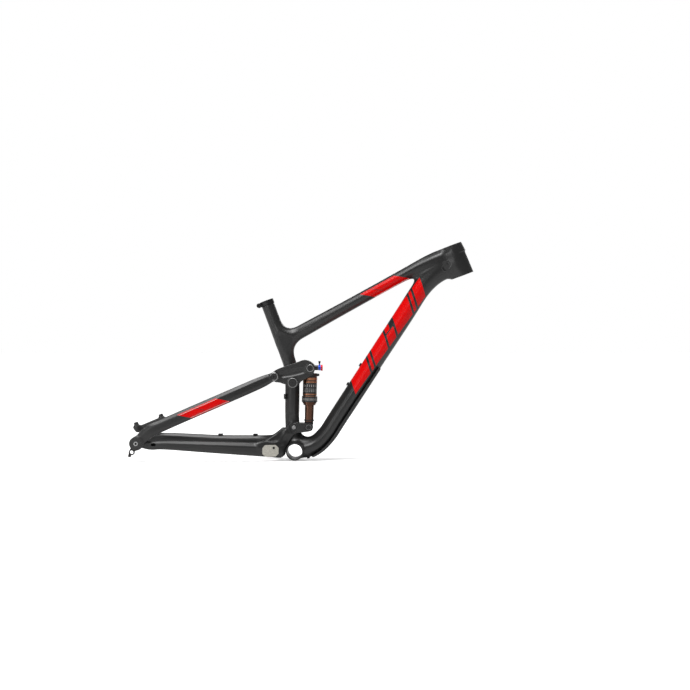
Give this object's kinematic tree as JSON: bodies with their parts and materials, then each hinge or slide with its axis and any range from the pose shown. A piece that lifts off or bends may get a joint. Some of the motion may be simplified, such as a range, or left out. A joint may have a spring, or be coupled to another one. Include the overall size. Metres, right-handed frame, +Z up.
{
  "type": "full-suspension bicycle frame",
  "caption": "Full-suspension mountain-bike frame with moulded tubes, a rocker link and a rear air shock that compresses as the rear triangle rises.",
  "frame": {"origin": "centre of the bottom bracket shell", "axes": "+X towards the head tube, +Y to the rider's left, +Z up; every pivot lies along Y"},
  "size_m": [0.9615, 0.1862, 0.6091],
  "materials": {
    "carbon": "satin dark charcoal carbon-fibre moulding with a clear coat",
    "guard": "grained black plastic",
    "black_alloy": "black anodised",
    "raw_alloy": "machined",
    "steel": "bright",
    "black_steel": "blackened",
    "copper_alloy": "copper-brown hard anodised",
    "shock_black": "gloss black anodised",
    "rubber": "soft matte",
    "plate": "pale warm grey, bead-blasted",
    "blue_alloy": "blue anodised",
    "red_alloy": "red anodised"
  },
  "bodies": {
    "front_triangle": {"head_tube": "carbon", "top_tube": "carbon", "down_tube": "carbon", "seat_tube": "carbon", "seat_mast": "carbon", "bottom_bracket_shell": "carbon", "main_pivot_boss": "black_alloy", "rocker_pivot_boss": "black_alloy", "down_tube_guard": "guard", "mast_cable_port": "guard", "lower_cable_exit": "rubber", "cable_ports": "rubber", "bottle_bolts": "black_steel", "seat_clamp": "black_alloy", "seat_clamp_bolt": "black_steel", "seat_clamp_nut": "black_steel", "main_pivot_bearings": "steel", "rocker_pivot_axle": "raw_alloy", "rocker_pivot_caps": "black_alloy"},
    "chainstay": {"chainstay_yoke": "carbon", "chainstay_right": "carbon", "chainstay_left": "carbon", "dropout_right": "black_alloy", "dropout_left": "black_alloy", "derailleur_hanger": "black_alloy", "hanger_screw": "black_steel", "chain_plate": "plate", "chain_plate_screw": "black_steel", "hose_clips": "guard", "thru_axle": "black_alloy", "stay_ring_caps": "black_alloy", "main_pivot_axle": "raw_alloy", "main_pivot_caps": "black_alloy", "shock_lower_bolt": "black_steel", "shock_lower_spacers": "black_alloy"},
    "seatstay": {"seatstay_right": "carbon", "seatstay_left": "carbon", "seatstay_bridge": "carbon", "brake_inserts": "raw_alloy", "stay_pivot_bolts": "black_steel"},
    "rocker": {"rocker_arm_right": "carbon", "rocker_arm_left": "carbon", "rocker_bearings": "steel", "stay_bearings": "steel", "shock_upper_spacers": "black_alloy", "shock_upper_bolt": "black_steel"},
    "shock_body": {"shock_head": "shock_black", "shock_air_can": "copper_alloy", "shock_sleeve": "shock_black", "shock_seal_head": "shock_black", "shock_valve_cap": "black_alloy"},
    "shock_shaft": {"shock_stanchion": "copper_alloy", "shock_lower_eye": "black_alloy", "shock_piston": "raw_alloy", "travel_ring": "rubber"},
    "lever": {"compression_lever": "blue_alloy"},
    "dial": {"rebound_dial": "red_alloy"}
  },
  "joints": [
    {"name": "main_pivot", "type": "hinge", "parent": "front_triangle", "child": "chainstay", "pos_m": [-0.003, 0, 0.066], "axis": [0, 1, 0], "range_deg": [0, 13.7], "stiffness_Nm_per_rad": 1500},
    {"name": "axle_pivot", "type": "hinge", "parent": "chainstay", "child": "seatstay", "pos_m": [-0.43378, 0, 0.025], "axis": [0, 1, 0], "range_deg": [-3.6, 0]},
    {"name": "rocker_pivot", "type": "hinge", "parent": "front_triangle", "child": "rocker", "pos_m": [-0.0062, 0, 0.1908], "axis": [0, 1, 0], "range_deg": [0, 46.2]},
    {"name": "shock_pivot", "type": "hinge", "parent": "rocker", "child": "shock_body", "pos_m": [0.0425, 0, 0.2311], "axis": [0, 1, 0], "range_deg": [-38, 0]},
    {"name": "shock_travel", "type": "slide", "parent": "shock_body", "child": "shock_shaft", "axis": [0.0262, 0, 0.9997], "range_m": [0, 0.0353]},
    {"name": "lever_turn", "type": "hinge", "parent": "shock_body", "child": "lever", "pos_m": [0.0675, 0, 0.2321], "axis": [1, 0, 0], "range_deg": [0, 70]},
    {"name": "dial_turn", "type": "hinge", "parent": "shock_body", "child": "dial", "pos_m": [0.0675, 0, 0.2321], "axis": [1, 0, 0], "range_deg": [-150, 150]}
  ],
  "couplings": [
    {"joint": "axle_pivot", "follows": "main_pivot", "ratio": -0.2578},
    {"joint": "rocker_pivot", "follows": "main_pivot", "ratio": 3.3668},
    {"joint": "shock_pivot", "follows": "main_pivot", "ratio": -2.769},
    {"joint": "shock_travel", "follows": "main_pivot", "m_per_rad": 0.14738}
  ]
}
